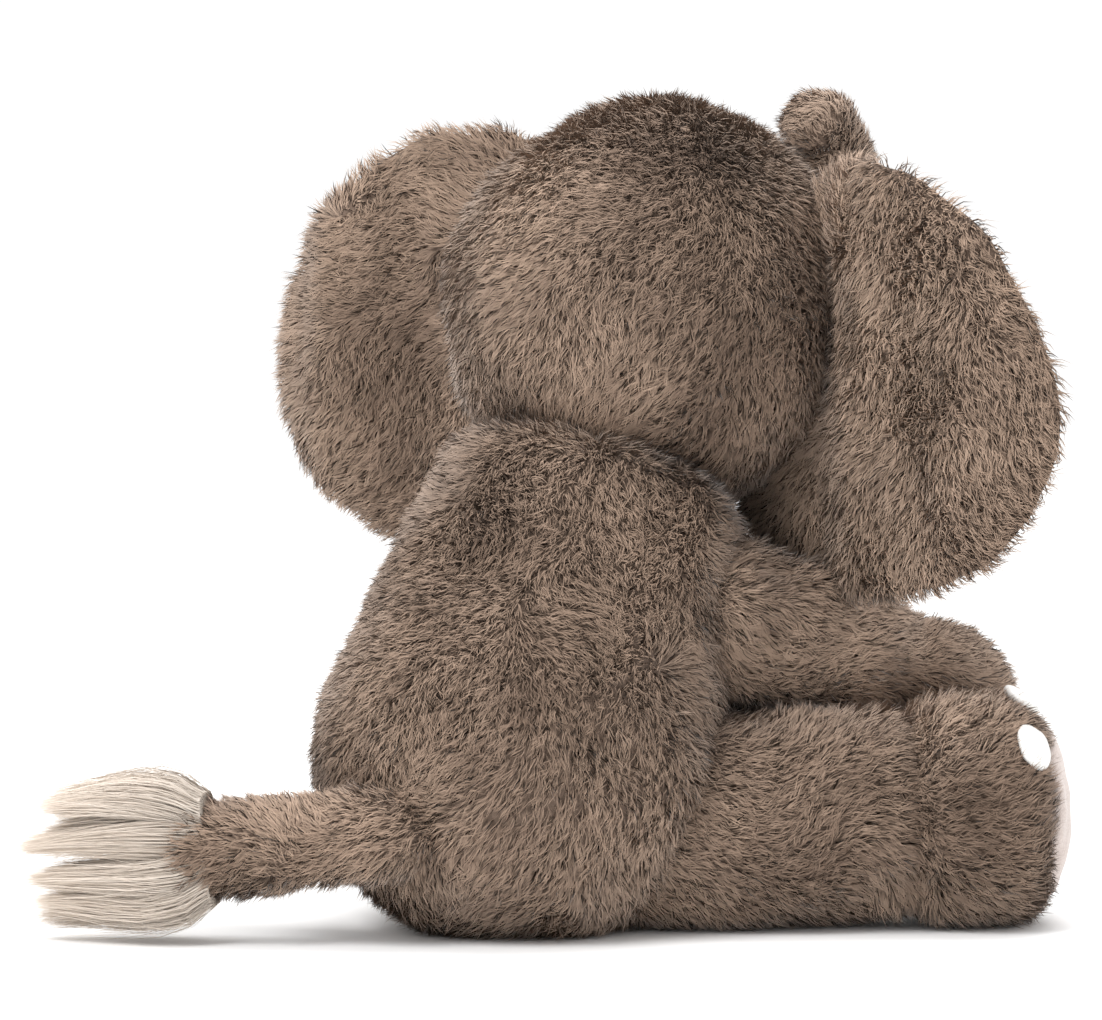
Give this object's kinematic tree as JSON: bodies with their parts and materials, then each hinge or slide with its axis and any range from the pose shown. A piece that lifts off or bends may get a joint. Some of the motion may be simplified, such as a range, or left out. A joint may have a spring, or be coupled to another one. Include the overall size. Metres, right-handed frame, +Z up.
{
  "type": "stuffed elephant",
  "caption": "Plush elephant sitting with splayed legs, raised trunk, big round ears and a long-pile tail tuft; sewn limbs swing.",
  "frame": {"origin": "centre of the flat patch that the seat rests on", "axes": "+Z up, the elephant faces -Y, +X is its left"},
  "size_m": [0.371, 0.3522, 0.2988],
  "materials": {
    "pile_cloth": "taupe brown dense pile",
    "long_pile": "cream long pile",
    "velour": "short beige velour",
    "satin": "white satin",
    "fibre": "white polyester fibre",
    "pellets": "woven pouch of pellets",
    "eye": "polished",
    "washer": "moulded"
  },
  "bodies": {
    "torso": {"torso_cover": "pile_cloth", "torso_filling": "fibre", "pellet_pouch": "pellets"},
    "neck": {"neck_wad": "fibre"},
    "head": {"head_cover": "pile_cloth", "head_filling": "fibre", "lower_lip": "velour", "eye_left": "eye", "eye_right": "eye", "eye_washer_left": "washer", "eye_washer_right": "washer"},
    "trunk": {"trunk_cover": "pile_cloth", "trunk_filling": "fibre"},
    "tail": {"tail_cover": "pile_cloth", "tail_filling": "fibre", "tail_tuft": "long_pile"},
    "ear_left": {"ear_back_left": "pile_cloth", "ear_lining_left": "velour", "ear_wadding_left": "fibre"},
    "arm_left": {"arm_cover_left": "pile_cloth", "hand_cover_left": "pile_cloth", "arm_filling_left": "fibre"},
    "leg_left": {"leg_cover_left": "pile_cloth", "foot_cover_left": "pile_cloth", "sole_pad_left": "velour", "toenails_left": "satin", "leg_filling_left": "fibre"},
    "ear_right": {"ear_back_right": "pile_cloth", "ear_lining_right": "velour", "ear_wadding_right": "fibre"},
    "arm_right": {"arm_cover_right": "pile_cloth", "hand_cover_right": "pile_cloth", "arm_filling_right": "fibre"},
    "leg_right": {"leg_cover_right": "pile_cloth", "foot_cover_right": "pile_cloth", "sole_pad_right": "velour", "toenails_right": "satin", "leg_filling_right": "fibre"}
  },
  "joints": [
    {"name": "head_turn", "type": "hinge", "parent": "torso", "child": "neck", "pos_m": [0, -0.07606, 0.21794], "axis": [0, 0, 1], "range_deg": [-18, 18], "stiffness_Nm_per_rad": 3},
    {"name": "head_nod", "type": "hinge", "parent": "neck", "child": "head", "pos_m": [0, -0.07606, 0.21794], "axis": [1, 0, 0], "range_deg": [-8, 8], "stiffness_Nm_per_rad": 12},
    {"name": "trunk_lift", "type": "hinge", "parent": "head", "child": "trunk", "pos_m": [0, -0.14706, 0.20494], "axis": [1, 0, 0], "range_deg": [-12, 18], "stiffness_Nm_per_rad": 1.5},
    {"name": "ear_left_flap", "type": "hinge", "parent": "head", "child": "ear_left", "pos_m": [0.07928, -0.09004, 0.21794], "axis": [0, 0, 1], "range_deg": [-20, 25], "stiffness_Nm_per_rad": 1},
    {"name": "ear_right_flap", "type": "hinge", "parent": "head", "child": "ear_right", "pos_m": [-0.07928, -0.09004, 0.21794], "axis": [0, 0, -1], "range_deg": [-20, 25], "stiffness_Nm_per_rad": 1},
    {"name": "arm_left_swing", "type": "hinge", "parent": "torso", "child": "arm_left", "pos_m": [0.044, -0.061, 0.11], "axis": [-0.6389, 0.047, -0.7679], "range_deg": [0, 25], "stiffness_Nm_per_rad": 1},
    {"name": "leg_left_splay", "type": "hinge", "parent": "torso", "child": "leg_left", "pos_m": [0.0376, -0.034, 0.0365], "axis": [0, 0, 1], "range_deg": [0, 20], "stiffness_Nm_per_rad": 2},
    {"name": "arm_right_swing", "type": "hinge", "parent": "torso", "child": "arm_right", "pos_m": [-0.044, -0.061, 0.11], "axis": [-0.6389, -0.047, 0.7679], "range_deg": [0, 25], "stiffness_Nm_per_rad": 1},
    {"name": "leg_right_splay", "type": "hinge", "parent": "torso", "child": "leg_right", "pos_m": [-0.0376, -0.034, 0.0365], "axis": [0, 0, -1], "range_deg": [0, 20], "stiffness_Nm_per_rad": 2},
    {"name": "tail_swing", "type": "hinge", "parent": "torso", "child": "tail", "pos_m": [0, 0.067, 0.04], "axis": [0, 0, 1], "range_deg": [0, 110], "stiffness_Nm_per_rad": 0.3}
  ]
}
